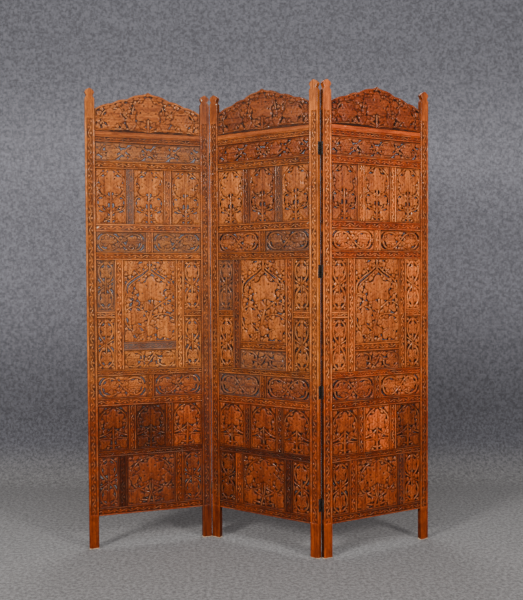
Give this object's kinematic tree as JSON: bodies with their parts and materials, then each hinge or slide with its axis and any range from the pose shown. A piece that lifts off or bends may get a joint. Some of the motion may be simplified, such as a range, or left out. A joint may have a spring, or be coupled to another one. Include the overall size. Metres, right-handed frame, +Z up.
{
  "type": "carved folding screen",
  "caption": "Free-standing folding room screen: framed leaves of pierced and carved vine panels under a scalloped crest, joined by butt hinges that fold alternately.",
  "frame": {"origin": "on the floor, in the middle of the box the half-folded screen takes up", "axes": "+Z up, +X to the viewer's right along the row of leaves, the carved front faces -Y"},
  "size_m": [1.3778, 0.2794, 1.83],
  "materials": {
    "stile": "waxed red-brown hardwood with an engraved vine band, worn paler at edges and feet",
    "rail": "waxed red-brown hardwood with an engraved vine band between plain borders",
    "panel": "carved and pierced hardwood, dark in the cuts, dusty on some panels",
    "crest": "carved hardwood board with a scalloped top edge",
    "iron": "darkened iron butt hinges"
  },
  "bodies": {
    "left_leaf": {"left_leaf_left_stile": "stile", "left_leaf_right_stile": "stile", "left_bottom_panels_and_rail": "panel", "left_rail_over_bottom_panels": "rail", "left_lower_three_panels": "panel", "left_rail_over_lower_three": "rail", "left_lower_two_panels": "panel", "left_centre_block": "panel", "left_upper_two_panels": "panel", "left_rail_over_upper_two": "rail", "left_upper_three_panels": "panel", "left_rail_under_frieze": "rail", "left_frieze_panel": "panel", "left_crest_and_top_rail": "crest", "left_fold_hinge_1_left_plate": "iron", "left_fold_hinge_2_left_plate": "iron", "left_fold_hinge_3_left_plate": "iron", "left_fold_hinge_4_left_plate": "iron"},
    "middle_leaf": {"middle_leaf_left_stile": "stile", "middle_leaf_right_stile": "stile", "middle_bottom_panels_and_rail": "panel", "middle_rail_over_bottom_panels": "rail", "middle_lower_three_panels": "panel", "middle_rail_over_lower_three": "rail", "middle_lower_two_panels": "panel", "middle_centre_block": "panel", "middle_upper_two_panels": "panel", "middle_rail_over_upper_two": "rail", "middle_upper_three_panels": "panel", "middle_rail_under_frieze": "rail", "middle_frieze_panel": "panel", "middle_crest_and_top_rail": "crest", "left_fold_hinge_1_right_plate": "iron", "left_fold_hinge_2_right_plate": "iron", "left_fold_hinge_3_right_plate": "iron", "left_fold_hinge_4_right_plate": "iron", "right_fold_hinge_1_left_plate": "iron", "right_fold_hinge_2_left_plate": "iron", "right_fold_hinge_3_left_plate": "iron", "right_fold_hinge_4_left_plate": "iron"},
    "right_leaf": {"right_leaf_left_stile": "stile", "right_leaf_right_stile": "stile", "right_bottom_panels_and_rail": "panel", "right_rail_over_bottom_panels": "rail", "right_lower_three_panels": "panel", "right_rail_over_lower_three": "rail", "right_lower_two_panels": "panel", "right_centre_block": "panel", "right_upper_two_panels": "panel", "right_rail_over_upper_two": "rail", "right_upper_three_panels": "panel", "right_rail_under_frieze": "rail", "right_frieze_panel": "panel", "right_crest_and_top_rail": "crest", "right_fold_hinge_1_right_plate": "iron", "right_fold_hinge_2_right_plate": "iron", "right_fold_hinge_3_right_plate": "iron", "right_fold_hinge_4_right_plate": "iron"}
  },
  "joints": [
    {"name": "left_fold", "type": "hinge", "parent": "middle_leaf", "child": "left_leaf", "pos_m": [-0.20487, 0.12147, 0.915], "axis": [0, 0, 1], "range_deg": [-48.5, 131.5]},
    {"name": "right_fold", "type": "hinge", "parent": "middle_leaf", "child": "right_leaf", "pos_m": [0.23262, -0.1227, 0.915], "axis": [0, 0, 1], "range_deg": [-58, 122]}
  ]
}
